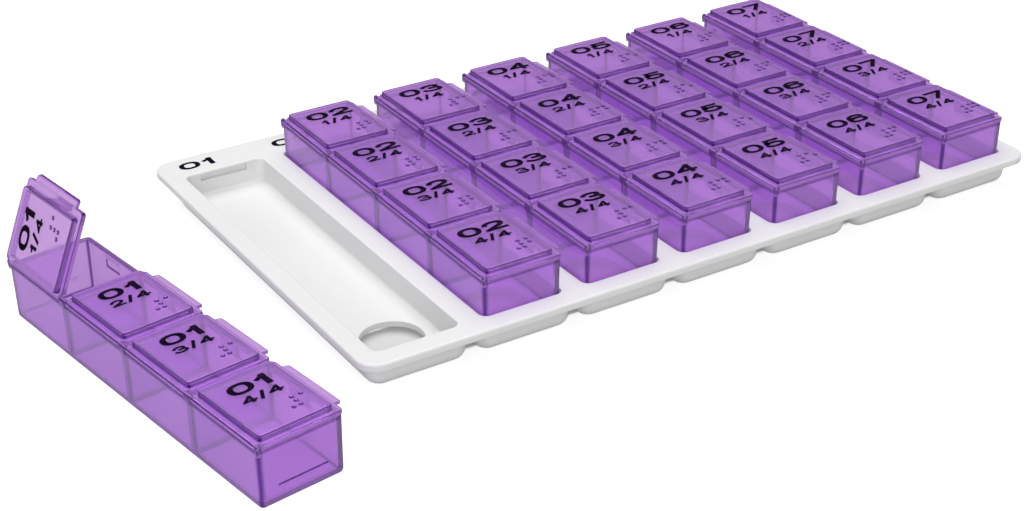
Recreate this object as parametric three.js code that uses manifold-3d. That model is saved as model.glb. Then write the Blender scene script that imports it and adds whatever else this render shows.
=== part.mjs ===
// Weekly pill organizer: a tray with a well for each day, a day box with four compartments for each well, and a
// hinged lid on every compartment. Six boxes are seated, and the first day's box stands beside the tray with its
// rear lid open.
// Millimetres, +Z up, +X along the week, +Y to the wide numbered flange. The origin is on the table, under the
// middle of the whole set.

import * as THREE from "three";
import { mergeVertices } from "three/addons/utils/BufferGeometryUtils.js";
import Module from "manifold-3d";

const wasm = await Module();
wasm.setup();

// The week
const days = 7;
const doses = 4; // compartments in one day's box, counted from the back
const looseDay = 1; // its box stands beside the tray
const openDose = 1; // its lid on the loose box is open
const openAngle = 67; // degrees from closed

// Day box: the outer sizes are at the rim, where it is widest
const boxWidth = 24.3;
const boxLength = 117.7;
const boxHeight = 16.3;
const boxWall = 1.3;
const boxFloor = 1.3;
const partitionWall = 1.2;
const boxCornerRadius = 1.7;
const boxEdgeRadius = 1.6; // along the bottom
const cavityCornerRadius = 1.3;
const cavityEdgeRadius = 1;
const leanShare = 0.013; // how far a wall leans in for each millimetre down

// Snap rib on each end of a box
const ribLength = 13.9;
const ribHeight = 0.8;
const ribReach = 0.3;
const ribCentreHeight = 5.3; // above the box's underside

// Hinge: ears on the box's left rim, pins on the lid
const hingeInset = 0.55; // axis inside the box's left wall
const pinRadius = 0.45;
const pinClearance = 0.3;
const earWall = 0.4;
const earWidth = 0.8; // of the part of an ear that stands in one lid's notch
const earClearance = 0.3; // between an ear and its lid
const pinReach = 0.6;

// Lid
const lidSpacing = 1.1; // between neighbours
const lidLift = 0.3; // above the rim
const flangeThickness = 1.3;
const flangeCornerRadius = 1.2;
const panelRise = 1.6; // above the flange
const panelEndInset = 1;
const panelHingeInset = 1.4; // from the box's left wall
const panelLatchInset = 1.8; // from the box's right wall
const panelCornerRadius = 1.5;
const panelLean = 0.2;
const panelEdgeRadius = 0.35;
const lidShell = 1.1; // thickness of the panel and its sides

// Thumb tab on the lid's right edge
const tabLength = 21;
const tabReach = 2.2; // beyond the box's right wall
const tabDrop = 0.5; // its edge lies below the flange's top
const tabThickness = 0.9;
const tabCornerRadius = 0.8;

// Latch: a hook under the lid and a ridge on the inside of the box's right wall
const hookLength = 7;
const hookThickness = 0.9;
const hookDepth = 2.9; // below the rim
const hookWallGap = 0.9;
const hookBarbReach = 0.3;
const hookBarbHeight = 0.6;
const latchRidgeLength = 7.2;
const latchRidgeReach = 0.2;
const latchRidgeHeight = 0.5;
const latchRidgeDepth = 1.5; // below the rim

// Tray
const dayPitch = 32;
const trayHeight = 10.1; // from the table to the plate's top
const plateThickness = 2.2;
const plateCornerRadius = 6;
const plateEdgeRadius = 0.7;
const sideFlange = 5.7; // plate beyond the outer wells
const frontFlange = 6.4;
const backFlange = 12.7; // carries the day numbers
const wellDepth = 7;
const tubFloor = 1.9; // the tubs stand on a foot that runs round each floor
const footWall = 1.6;
const wellCornerRadius = 2.3;
const wellFloorRadius = 1.2;
const wellLean = 0.4; // how far a well's walls lean in on their way down
const tubWall = 2.4;
const tubEdgeRadius = 3.6; // along the bottom of each tub
const tubLean = 0.3;
const seatGap = 0.3; // under a seated box
const wellSideClearance = 0.45;
const wellEndClearance = 0.4;
const slotClearance = 0.6; // round a snap rib
const slotDrop = 0.3; // the slot's middle lies below the rib's
const slotDepth = 0.9;
const pushHoleRadius = 8.7;
const pushHoleFromFront = 14.1; // well's front wall to the hole's centre

// Where the loose box stands
const looseAside = 38.7; // tray's left edge to the box's centre
const looseForward = 32.4; // wells' middle to the box's centre
const looseTurn = 8.6; // degrees

const leastRadiusShare = 0.01; // a corner that is stepped in never gets sharper than this share of its radius

// How finely round shapes are cut
const cornerSteps = 2;
const plateCornerSteps = 4;
const edgeSteps = 2;
const pinSides = 6;
const earSteps = 3;
const holeSides = 24;
const overrun = 1; // cuts run past a face, and joined shapes into each other, by this
const weldTolerance = 0.0001;

// Worked-out sizes
const quarterTurn = Math.PI / 2;
const lidLength = (boxLength - (doses - 1) * lidSpacing) / doses;
const dosePitch = lidLength + lidSpacing;
const hingeX = -boxWidth / 2 + hingeInset;
const hingeRise = lidLift + flangeThickness / 2; // axis above the rim
const wellWidth = boxWidth + 2 * wellSideClearance;
const wellLength = boxLength + 2 * wellEndClearance;
const trayWidth = (days - 1) * dayPitch + wellWidth + 2 * sideFlange;
const trayDepth = wellLength + frontFlange + backFlange;
const wellCentreY = (frontFlange - backFlange) / 2;
const wellFloor = trayHeight - wellDepth;

const purple = new THREE.MeshStandardMaterial({
  color: 0x9a62c4,
  roughness: 0.18,
  metalness: 0,
  transparent: true,
  opacity: 0.7,
});
const white = new THREE.MeshStandardMaterial({ color: 0xf2f1f3, roughness: 0.45, metalness: 0 });

// A closed geometry as a solid that can be joined and cut
function solidOf(geometry) {
  geometry.deleteAttribute("normal");
  geometry.deleteAttribute("uv");
  const welded = mergeVertices(geometry, weldTolerance);
  const vertProperties = welded.attributes.position.array;
  const triVerts = new Uint32Array(welded.index.array);
  return new wasm.Manifold(new wasm.Mesh({ numProp: 3, vertProperties, triVerts }));
}

// A solid as a named mesh
function meshOf(name, solid, material) {
  const { vertProperties, triVerts } = solid.getMesh();
  const geometry = new THREE.BufferGeometry();
  geometry.setAttribute("position", new THREE.BufferAttribute(new Float32Array(vertProperties), 3));
  geometry.setIndex(new THREE.BufferAttribute(new Uint32Array(triVerts), 1));
  geometry.computeVertexNormals();
  const mesh = new THREE.Mesh(geometry, material);
  mesh.name = name;
  return mesh;
}

const join = (first, ...rest) => rest.reduce((sum, next) => sum.add(next), first);
const cut = (first, ...rest) => rest.reduce((left, next) => left.subtract(next), first);

// A block given by its lowest and highest corners
function block(low, high) {
  const geometry = new THREE.BoxGeometry(high[0] - low[0], high[1] - low[1], high[2] - low[2]);
  geometry.translate((low[0] + high[0]) / 2, (low[1] + high[1]) / 2, (low[2] + high[2]) / 2);
  return solidOf(geometry);
}

// A rod along Y
function rodAlongY(radius, length, sides) {
  return solidOf(new THREE.CylinderGeometry(radius, radius, length, sides));
}

// An outline in X and Z, drawn anticlockwise as seen from the front, as a bar along Y
function barAlongY(outline, holes, length) {
  const shape = new THREE.Shape(outline);
  shape.holes = holes.map((hole) => new THREE.Path(hole));
  const geometry = new THREE.ExtrudeGeometry(shape, { depth: length, bevelEnabled: false });
  geometry.rotateX(quarterTurn);
  geometry.translate(0, length / 2, 0);
  return solidOf(geometry);
}

// One level of a drafted rounded box: a rounded rectangle at a height
function level(area, inset, radius, steps, height) {
  const cornerRadius = Math.max(radius - inset, radius * leastRadiusShare);
  const points = [];
  for (let corner = 0; corner < 4; corner++) {
    const right = corner === 0 || corner === 3;
    const back = corner < 2;
    const x = right ? area.right - inset - cornerRadius : area.left + inset + cornerRadius;
    const y = back ? area.back - inset - cornerRadius : area.front + inset + cornerRadius;
    for (let step = 0; step <= steps; step++) {
      const angle = (corner + step / steps) * quarterTurn;
      const reachX = cornerRadius * Math.cos(angle);
      const reachY = cornerRadius * Math.sin(angle);
      points.push(new THREE.Vector3(x + reachX, y + reachY, height));
    }
  }
  return points;
}

// A solid through levels that all have the same number of points, lowest first
function loft(levels) {
  const count = levels[0].length;
  const last = (levels.length - 1) * count;
  const index = [];
  for (let base = 0; base < last; base += count)
    for (let i = 0; i < count; i++) {
      const next = (i + 1) % count;
      index.push(base + i, base + next, base + count + next);
      index.push(base + i, base + count + next, base + count + i);
    }
  for (let i = 1; i + 1 < count; i++) {
    index.push(0, i + 1, i);
    index.push(last, last + i, last + i + 1);
  }
  const geometry = new THREE.BufferGeometry().setFromPoints(levels.flat());
  geometry.setIndex(index);
  return solidOf(geometry);
}

// A box that widens from its bottom to its top by the lean, with its bottom edges rounded
function pan(area, { bottom, top, lean, radius, edge, steps, edgeCuts }) {
  const levels = [];
  for (let step = 0; step <= edgeCuts; step++) {
    const angle = (step / edgeCuts) * quarterTurn;
    const inset = lean + edge * (1 - Math.sin(angle));
    levels.push(level(area, inset, radius, steps, bottom + edge * (1 - Math.cos(angle))));
  }
  levels.push(level(area, 0, radius, steps, top));
  return loft(levels);
}

const areaOf = (width, length) => ({ left: -width / 2, right: width / 2, front: -length / 2, back: length / 2 });
const dayX = (day) => (day - (days + 1) / 2) * dayPitch;
const doseY = (dose) => ((doses + 1) / 2 - dose) * dosePitch;

// The well's walls lean in below the plate, and the tub's with them
function makeWell(day) {
  const well = pan(areaOf(wellWidth, wellLength), {
    bottom: wellFloor,
    top: trayHeight,
    lean: wellLean,
    radius: wellCornerRadius,
    edge: wellFloorRadius,
    steps: cornerSteps,
    edgeCuts: 1,
  });
  const mouth = loft([
    level(areaOf(wellWidth, wellLength), 0, wellCornerRadius, cornerSteps, trayHeight),
    level(areaOf(wellWidth, wellLength), 0, wellCornerRadius, cornerSteps, trayHeight + overrun),
  ]);
  const slotHalfLength = ribLength / 2 + slotClearance;
  const slotHalfHeight = ribHeight / 2 + slotClearance;
  const slotHeight = wellFloor + seatGap + ribCentreHeight - slotDrop;
  const slots = block(
    [-slotHalfLength, -wellLength / 2 - slotDepth, slotHeight - slotHalfHeight],
    [slotHalfLength, wellLength / 2 + slotDepth, slotHeight + slotHalfHeight],
  );
  const hole = new THREE.CylinderGeometry(pushHoleRadius, pushHoleRadius, trayHeight, holeSides);
  hole.rotateX(quarterTurn);
  hole.translate(0, pushHoleFromFront - wellLength / 2, wellFloor - trayHeight / 2 + overrun);
  return join(well, mouth, slots, solidOf(hole)).translate([dayX(day), wellCentreY, 0]);
}

// The hollow under a tub's floor, inside its foot
function makeFootHollow(day) {
  const inset = tubEdgeRadius + tubLean + footWall;
  const area = areaOf(wellWidth + 2 * tubWall, wellLength + 2 * tubWall);
  const edge = (height) => level(area, inset, wellCornerRadius + tubWall, 1, height);
  return loft([edge(-overrun), edge(wellFloor - tubFloor)]).translate([dayX(day), wellCentreY, 0]);
}

function makeTub(day) {
  const tub = pan(areaOf(wellWidth + 2 * tubWall, wellLength + 2 * tubWall), {
    bottom: 0,
    top: trayHeight - plateThickness / 2,
    lean: tubLean,
    radius: wellCornerRadius + tubWall,
    edge: tubEdgeRadius,
    steps: cornerSteps,
    edgeCuts: edgeSteps,
  });
  return tub.translate([dayX(day), wellCentreY, 0]);
}

function makeTray() {
  const area = areaOf(trayWidth, trayDepth);
  const corner = (inset, height) => level(area, inset, plateCornerRadius, plateCornerSteps, height);
  const levels = [corner(0, trayHeight - plateThickness)];
  for (let step = 0; step <= edgeSteps; step++) {
    const angle = (step / edgeSteps) * quarterTurn;
    const inset = plateEdgeRadius * (1 - Math.cos(angle));
    levels.push(corner(inset, trayHeight - plateEdgeRadius * (1 - Math.sin(angle))));
  }
  let tray = loft(levels);
  for (let day = 1; day <= days; day++) tray = join(tray, makeTub(day));
  for (let day = 1; day <= days; day++) tray = cut(tray, makeWell(day), makeFootHollow(day));
  return meshOf("tray", tray, white);
}

// One compartment's hollow
function makeCavity(dose) {
  const firstEnd = dose === 1 ? boxLength / 2 - boxWall : doseY(dose) + (dosePitch - partitionWall) / 2;
  const lastEnd = dose === doses ? boxWall - boxLength / 2 : doseY(dose) - (dosePitch - partitionWall) / 2;
  const area = { left: boxWall - boxWidth / 2, right: boxWidth / 2 - boxWall, front: lastEnd, back: firstEnd };
  return pan(area, {
    bottom: boxFloor,
    top: boxHeight + overrun,
    lean: leanShare * boxHeight,
    radius: cavityCornerRadius,
    edge: cavityEdgeRadius,
    steps: cornerSteps,
    edgeCuts: 1,
  });
}

// Ear with a bore for the hinge pins, on the rim at the left wall
function makeEar(front, back) {
  const bore = pinRadius + pinClearance;
  const radius = bore + earWall;
  const foot = -hingeRise - boxWall;
  const outline = [new THREE.Vector2(-hingeInset, foot), new THREE.Vector2(radius, foot)];
  for (let step = 0; step <= earSteps; step++) {
    const angle = (step / earSteps) * 2 * quarterTurn;
    outline.push(new THREE.Vector2(radius * Math.cos(angle), radius * Math.sin(angle)));
  }
  outline.push(new THREE.Vector2(-radius, -radius));
  const hole = [];
  for (let side = 0; side < pinSides; side++) {
    const angle = ((side + 1 / 2) / pinSides) * 4 * quarterTurn;
    hole.push(new THREE.Vector2(bore * Math.cos(angle), bore * Math.sin(angle)));
  }
  const ear = barAlongY(outline, [hole], back - front);
  return ear.translate([hingeX, (front + back) / 2, boxHeight + hingeRise]);
}

// The ears stand in the notches of the lids, so one ear serves two neighbouring lids
function makeEars() {
  const ears = [];
  for (let gap = 0; gap <= doses; gap++) {
    const middle = (doses / 2 - gap) * dosePitch;
    const halfWidth = lidSpacing / 2 + earWidth;
    const front = Math.max(middle - halfWidth, -boxLength / 2);
    const back = Math.min(middle + halfWidth, boxLength / 2);
    ears.push(makeEar(front, back));
  }
  return ears;
}

// Long low ridge that snaps into the tray's slot
function makeEndRibs() {
  const lean = leanShare * (boxHeight - ribCentreHeight);
  const face = boxLength / 2 - lean;
  const halfHeight = ribHeight / 2;
  return [-1, 1].map((side) => {
    const outline = [
      new THREE.Vector2(-overrun / 2, -halfHeight),
      new THREE.Vector2(ribReach, -halfHeight / 2),
      new THREE.Vector2(ribReach, halfHeight / 2),
      new THREE.Vector2(-overrun / 2, halfHeight),
    ];
    const rib = barAlongY(outline, [], ribLength);
    return rib.rotate([0, 0, side * 90]).translate([0, side * face, ribCentreHeight]);
  });
}

function makeLatchRidge(dose) {
  const height = boxHeight - latchRidgeDepth;
  const wall = boxWidth / 2 - boxWall - leanShare * latchRidgeDepth;
  const outline = [
    new THREE.Vector2(wall + boxWall / 2, height - latchRidgeHeight),
    new THREE.Vector2(wall + boxWall / 2, height + latchRidgeHeight),
    new THREE.Vector2(wall - latchRidgeReach, height + latchRidgeHeight / 2),
    new THREE.Vector2(wall - latchRidgeReach, height - latchRidgeHeight / 2),
  ];
  return barAlongY(outline, [], latchRidgeLength).translate([0, doseY(dose), 0]);
}

function makeBox(day) {
  const outside = pan(areaOf(boxWidth, boxLength), {
    bottom: 0,
    top: boxHeight,
    lean: leanShare * boxHeight,
    radius: boxCornerRadius,
    edge: boxEdgeRadius,
    steps: cornerSteps,
    edgeCuts: edgeSteps,
  });
  const doseList = Array.from({ length: doses }, (_, i) => i + 1);
  const hollow = cut(outside, ...doseList.map(makeCavity));
  return meshOf(`box_${day}`, join(hollow, ...makeEars(), ...makeEndRibs(), ...doseList.map(makeLatchRidge)), purple);
}

// A lid's own frame has its origin on the hinge axis, halfway along it, with +X to the latch when closed
function makeFlange() {
  const half = lidLength / 2;
  const notchEnd = half - earWidth - earClearance;
  const notchReach = pinRadius + pinClearance + earWall + earClearance;
  const right = boxWidth - hingeInset;
  const shape = new THREE.Shape();
  shape.moveTo(0, -notchEnd);
  shape.lineTo(notchReach, -notchEnd);
  shape.lineTo(notchReach, -half);
  shape.lineTo(right - flangeCornerRadius, -half);
  shape.absarc(right - flangeCornerRadius, flangeCornerRadius - half, flangeCornerRadius, -quarterTurn, 0);
  shape.absarc(right - flangeCornerRadius, half - flangeCornerRadius, flangeCornerRadius, 0, quarterTurn);
  shape.lineTo(notchReach, half);
  shape.lineTo(notchReach, notchEnd);
  shape.lineTo(0, notchEnd);
  const geometry = new THREE.ExtrudeGeometry(shape, {
    depth: flangeThickness,
    bevelEnabled: false,
    curveSegments: cornerSteps,
  });
  geometry.translate(0, 0, -flangeThickness / 2);
  const barrel = rodAlongY(flangeThickness / 2, 2 * notchEnd, pinSides);
  const pins = rodAlongY(pinRadius, 2 * (notchEnd + earClearance + pinReach), pinSides);
  return join(solidOf(geometry), barrel, pins);
}

const panelArea = {
  left: panelHingeInset - hingeInset,
  right: boxWidth - hingeInset - panelLatchInset,
  front: panelEndInset - lidLength / 2,
  back: lidLength / 2 - panelEndInset,
};

function makePanel() {
  const top = flangeThickness / 2 + panelRise;
  const edge = (inset, height) => level(panelArea, inset, panelCornerRadius, cornerSteps, height);
  return loft([
    edge(0, 0),
    edge(panelLean, top - panelEdgeRadius),
    edge(panelLean + panelEdgeRadius, top),
  ]);
}

function makePanelHollow() {
  const top = flangeThickness / 2 + panelRise - lidShell;
  const edge = (inset, height) => level(panelArea, inset, panelCornerRadius, 1, height);
  return loft([edge(lidShell, -flangeThickness), edge(lidShell + panelLean, top)]);
}

function makeThumbTab() {
  const root = boxWidth - hingeInset - overrun;
  const edge = boxWidth - hingeInset + tabReach;
  const top = flangeThickness / 2;
  const underside = top - tabThickness;
  const half = tabLength / 2;
  const tip = half - tabCornerRadius;
  const line = (x, y, drop, face) => new THREE.Vector3(x, y, face - drop);
  const outline = (face) => [
    line(root, -half, 0, face),
    line(edge - tabCornerRadius, -half, tabDrop, face),
    line(edge, -tip, tabDrop, face),
    line(edge, tip, tabDrop, face),
    line(edge - tabCornerRadius, half, tabDrop, face),
    line(root, half, 0, face),
  ];
  return loft([outline(underside), outline(top)]);
}

function makeHook() {
  const wall = boxWidth - hingeInset - boxWall;
  const face = wall - hookWallGap;
  const bottom = -hingeRise - hookDepth;
  const top = flangeThickness / 2 + panelRise - lidShell / 2;
  const outline = [
    new THREE.Vector2(face - hookThickness, bottom),
    new THREE.Vector2(face, bottom),
    new THREE.Vector2(face + hookBarbReach, bottom + hookBarbHeight / 2),
    new THREE.Vector2(face, bottom + hookBarbHeight),
    new THREE.Vector2(face, top),
    new THREE.Vector2(face - hookThickness, top),
  ];
  return barAlongY(outline, [], hookLength);
}

function makeLid(day, dose) {
  const shell = cut(join(makeFlange(), makePanel()), makePanelHollow());
  return meshOf(`lid_${day}_${dose}`, join(shell, makeThumbTab(), makeHook()), purple);
}

// A day's box with its lids, in the box's own frame: its origin is under the middle of the box
function makeDay(day) {
  const group = new THREE.Group();
  group.add(makeBox(day));
  for (let dose = 1; dose <= doses; dose++) {
    const hinge = new THREE.Group();
    hinge.position.set(hingeX, doseY(dose), boxHeight + hingeRise);
    if (day === looseDay && dose === openDose) hinge.rotation.y = THREE.MathUtils.degToRad(-openAngle);
    hinge.add(makeLid(day, dose));
    group.add(hinge);
  }
  if (day === looseDay) {
    group.position.set(-trayWidth / 2 - looseAside, wellCentreY - looseForward, 0);
    group.rotation.z = THREE.MathUtils.degToRad(looseTurn);
  } else {
    group.position.set(dayX(day), wellCentreY, wellFloor + seatGap);
  }
  return group;
}

const organizer = new THREE.Group();
organizer.add(makeTray());
for (let day = 1; day <= days; day++) organizer.add(makeDay(day));
const extent = new THREE.Box3().setFromObject(organizer, true);
const middle = extent.getCenter(new THREE.Vector3());
organizer.position.set(-middle.x, -middle.y, 0);

export default organizer;
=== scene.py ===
"""Weekly pill organizer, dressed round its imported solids.

A white tray has a well for each day. Six translucent day boxes are seated, and the first day's box stands
beside the tray with its rear lid open. Sizes are in millimetres until a mesh is finished, and in metres
from then on.
"""

import logging
import math
from dataclasses import dataclass
from enum import Enum
from functools import cache
from typing import Mapping, Sequence

import bmesh
import bpy
from bpy.types import Material, Mesh, Node, NodeSocket, NodeTree, Object
from mathutils import Matrix, Vector
from mathutils.geometry import tessellate_polygon


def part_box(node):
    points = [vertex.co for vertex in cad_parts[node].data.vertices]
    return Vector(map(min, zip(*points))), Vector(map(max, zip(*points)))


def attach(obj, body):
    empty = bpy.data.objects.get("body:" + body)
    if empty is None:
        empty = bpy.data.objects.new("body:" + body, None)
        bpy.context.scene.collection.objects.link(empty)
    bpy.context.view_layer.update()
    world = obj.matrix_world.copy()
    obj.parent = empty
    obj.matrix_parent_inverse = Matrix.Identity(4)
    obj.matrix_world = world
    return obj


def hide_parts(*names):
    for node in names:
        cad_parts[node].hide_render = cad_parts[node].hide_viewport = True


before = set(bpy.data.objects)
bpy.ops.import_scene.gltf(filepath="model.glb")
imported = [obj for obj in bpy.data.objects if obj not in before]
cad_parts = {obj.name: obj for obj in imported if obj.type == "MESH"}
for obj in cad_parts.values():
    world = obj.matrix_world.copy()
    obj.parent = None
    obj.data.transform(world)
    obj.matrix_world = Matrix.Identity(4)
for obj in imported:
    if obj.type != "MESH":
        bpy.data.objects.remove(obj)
log = logging.getLogger("pill_organizer")

Pair = tuple[float, float]
Triple = tuple[float, float, float]
Profile = Sequence[Pair]
Rings = list[list[Triple]]

MM = 0.001
QUARTER = math.pi / 2
# In millimetres: the least corner radius, how far one solid goes into another, how far a cutting solid
# stands out, and the distance within which points are joined.
LEAST_CORNER = 0.03
SINK = 0.02
OVERRUN = 1
WELD = 0.002
SHARP_DEGREES = 35
PIN_SIDES = 16
LIP_ANGLES = (0, 0.5, 1.0, QUARTER)
FINE_LIP_ANGLES = (0, 0.4, 0.8, 1.2, QUARTER)


class Join(Enum):
    """How one solid is combined with another."""

    ADD = "UNION"
    CUT = "DIFFERENCE"


class Edge(Enum):
    """Which way a rounded edge is turned in a profile of insets and heights."""

    BOTTOM = "bottom"
    TOP = "top"


# Shapes


@dataclass(frozen=True)
class Area:
    """A rectangle seen from above."""

    left: float
    right: float
    front: float
    back: float

    @classmethod
    def centred(cls, width: float, length: float) -> "Area":
        """A rectangle about the middle, with its sizes along X and Y."""
        return cls(-width / 2, width / 2, -length / 2, length / 2)

    def moved(self, x: float, y: float) -> "Area":
        """The same rectangle at another place."""
        return Area(self.left + x, self.right + x, self.front + y, self.back + y)

    def ring(self, inset: float, radius: float, height: float, steps: int) -> list[Triple]:
        """The outline with rounded corners, stepped in from the rectangle.

        Args:
            inset: how far the outline lies inside the rectangle.
            radius: the corner radius where the inset is nothing.
            height: the height of the outline.
            steps: straight pieces in each corner.

        Returns:
            The points, anticlockwise as seen from above.
        """
        corner = max(radius - inset, LEAST_CORNER)
        points = []
        for turn, (side, end) in enumerate(((1, 1), (-1, 1), (-1, -1), (1, -1))):
            x = (self.right - inset - corner) if side > 0 else (self.left + inset + corner)
            y = (self.back - inset - corner) if end > 0 else (self.front + inset + corner)
            for step in range(steps + 1):
                angle = (turn + step / steps) * QUARTER
                points.append((x + corner * math.cos(angle), y + corner * math.sin(angle), height))
        return points

    def rings(self, profile: Profile, radius: float, steps: int) -> Rings:
        """The outlines at the insets and heights of a profile."""
        return [self.ring(inset, radius, height, steps) for inset, height in profile]


def rounded(edge: Edge, inset: float, height: float, radius: float, steps: int) -> list[Pair]:
    """A rounded edge as insets and heights, from low to high.

    Args:
        edge: whether the edge is at the bottom or at the top of a solid.
        inset: the inset of the wall beside the edge.
        height: the height of the face that the edge runs into.
        radius: the edge's radius.
        steps: straight pieces in the edge.

    Returns:
        Pairs of inset and height.
    """
    pairs = []
    for step in range(steps + 1):
        angle = step / steps * QUARTER
        if edge is Edge.BOTTOM:
            pairs.append((inset + radius * (1 - math.sin(angle)), height + radius * (1 - math.cos(angle))))
        else:
            pairs.append((inset + radius * (1 - math.cos(angle)), height - radius * (1 - math.sin(angle))))
    return pairs


def lip(radius: float, top: float, angles: Sequence[float]) -> list[Pair]:
    """The rounded lip of a hollow as insets and heights, from the top face down to the hollow's wall."""
    return [(-radius + radius * math.sin(a), top - radius + radius * math.cos(a)) for a in angles]


def linked(name: str, data: Mesh | bpy.types.Light | bpy.types.Camera) -> Object:
    """A new object in the scene.

    Args:
        name: its name.
        data: its mesh, light or camera.

    Returns:
        The object.
    """
    made = bpy.data.objects.new(name, data)
    bpy.context.scene.collection.objects.link(made)
    return made


class MeshDraft:
    """Points and faces of a closed mesh in the making, in millimetres."""

    def __init__(self) -> None:
        """An empty draft."""
        self.points: list[Triple] = []
        self.faces: list[tuple[int, ...]] = []

    def ring(self, points: Sequence[Triple]) -> list[int]:
        """Adds the points and gives their numbers."""
        self.points.extend(points)
        return list(range(len(self.points) - len(points), len(self.points)))

    def bridge(self, one: Sequence[int], other: Sequence[int]) -> None:
        """Faces between two rings that have the same number of points."""
        for i, j in enumerate([*range(1, len(one)), 0]):
            self.faces.append((one[i], one[j], other[j], other[i]))

    def skin(self, rings: Rings) -> tuple[list[int], list[int]]:
        """Faces through a row of rings.

        Args:
            rings: the rings in order.

        Returns:
            The numbers of the first and of the last ring.
        """
        made = [self.ring(points) for points in rings]
        for one, other in zip(made, made[1:]):
            self.bridge(one, other)
        return made[0], made[-1]

    def fill(self, outer: Sequence[int], holes: Sequence[Sequence[int]] = ()) -> None:
        """A flat face inside a ring.

        Args:
            outer: the numbers of the ring.
            holes: the rings of the holes in the face.
        """
        if not holes:
            self.faces.append(tuple(outer))
            return
        loops = [list(outer), *map(list, holes)]
        numbers = [i for loop in loops for i in loop]
        flat = [[Vector(self.points[i]) for i in loop] for loop in loops]
        self.faces.extend(tuple(numbers[i] for i in face) for face in tessellate_polygon(flat))

    def solid(self, rings: Rings) -> "MeshDraft":
        """A closed solid through a row of rings.

        Args:
            rings: the rings in order.

        Returns:
            The draft.
        """
        for end in self.skin(rings):
            self.fill(end)
        return self

    def pan(self, area: Area, profile: Profile, radius: float, steps: int) -> "MeshDraft":
        """A closed solid that follows a profile all the way round a rectangle."""
        return self.solid(area.rings(profile, radius, steps))

    def bar(self, outline: Profile, front: float, back: float) -> "MeshDraft":
        """A closed bar along Y, with its outline in X and Z."""
        return self.solid([[(x, y, z) for x, z in outline] for y in (front, back)])

    def made(self, name: str) -> Object:
        """The draft as an object.

        Args:
            name: the object's name.

        Returns:
            The object, in millimetres, with its faces turned outwards.
        """
        mesh = bpy.data.meshes.new(name)
        mesh.from_pydata(self.points, [], self.faces)
        work = bmesh.new()
        work.from_mesh(mesh)
        bmesh.ops.recalc_face_normals(work, faces=work.faces)
        work.to_mesh(mesh)
        work.free()
        return linked(name, mesh)


def circle(x: float, y: float, height: float, radius: float, sides: int) -> list[Triple]:
    """A level circle as points."""
    angles = [4 * QUARTER * i / sides for i in range(sides)]
    return [(x + radius * math.cos(a), y + radius * math.sin(a), height) for a in angles]


def disc(radius: float, sides: int) -> list[Pair]:
    """A circle in X and Z about the origin, for a bar."""
    return [(x, z) for x, z, _ in circle(0, 0, 0, radius, sides)]


def combined(base: Object, tool: Object, how: Join) -> Object:
    """Adds a solid to another, or cuts it away.

    Args:
        base: the solid that is changed.
        tool: the solid that is used up.
        how: whether it is added or cut away.

    Returns:
        The changed solid.
    """
    step = base.modifiers.new("combine", "BOOLEAN")
    step.operation = how.value
    step.object = tool
    step.solver = "EXACT"
    shape = bpy.data.meshes.new_from_object(base.evaluated_get(bpy.context.evaluated_depsgraph_get()))
    base.modifiers.clear()
    old, base.data = base.data, shape
    bpy.data.meshes.remove(old)
    bpy.data.meshes.remove(tool.data)
    return base


def finished(piece: Object, material: Material) -> Mesh:
    """Turns a solid in millimetres into the mesh of a piece in metres.

    Args:
        piece: the solid, which is used up.
        material: its finish.

    Returns:
        The mesh.
    """
    mesh = piece.data
    bpy.data.objects.remove(piece)
    work = bmesh.new()
    work.from_mesh(mesh)
    bmesh.ops.remove_doubles(work, verts=work.verts, dist=WELD)
    bmesh.ops.dissolve_degenerate(work, edges=work.edges, dist=WELD)
    work.to_mesh(mesh)
    work.free()
    mesh.transform(Matrix.Scale(MM, 4))
    mesh.materials.clear()
    mesh.materials.append(material)
    mesh.polygons.foreach_set("use_smooth", [True] * len(mesh.polygons))
    mesh.set_sharp_from_angle(angle=math.radians(SHARP_DEGREES))
    mesh.update()
    return mesh


def placed(name: str, mesh: Mesh, place: Matrix) -> Object:
    """A moulded piece in the scene.

    Args:
        name: its name.
        mesh: its mesh.
        place: where it is, in metres.

    Returns:
        The piece.
    """
    piece = linked(name, mesh)
    piece.matrix_world = place
    shade = piece.modifiers.new("flat faces stay flat", "WEIGHTED_NORMAL")
    shade.keep_sharp = True
    return piece


# Finishes


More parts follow.
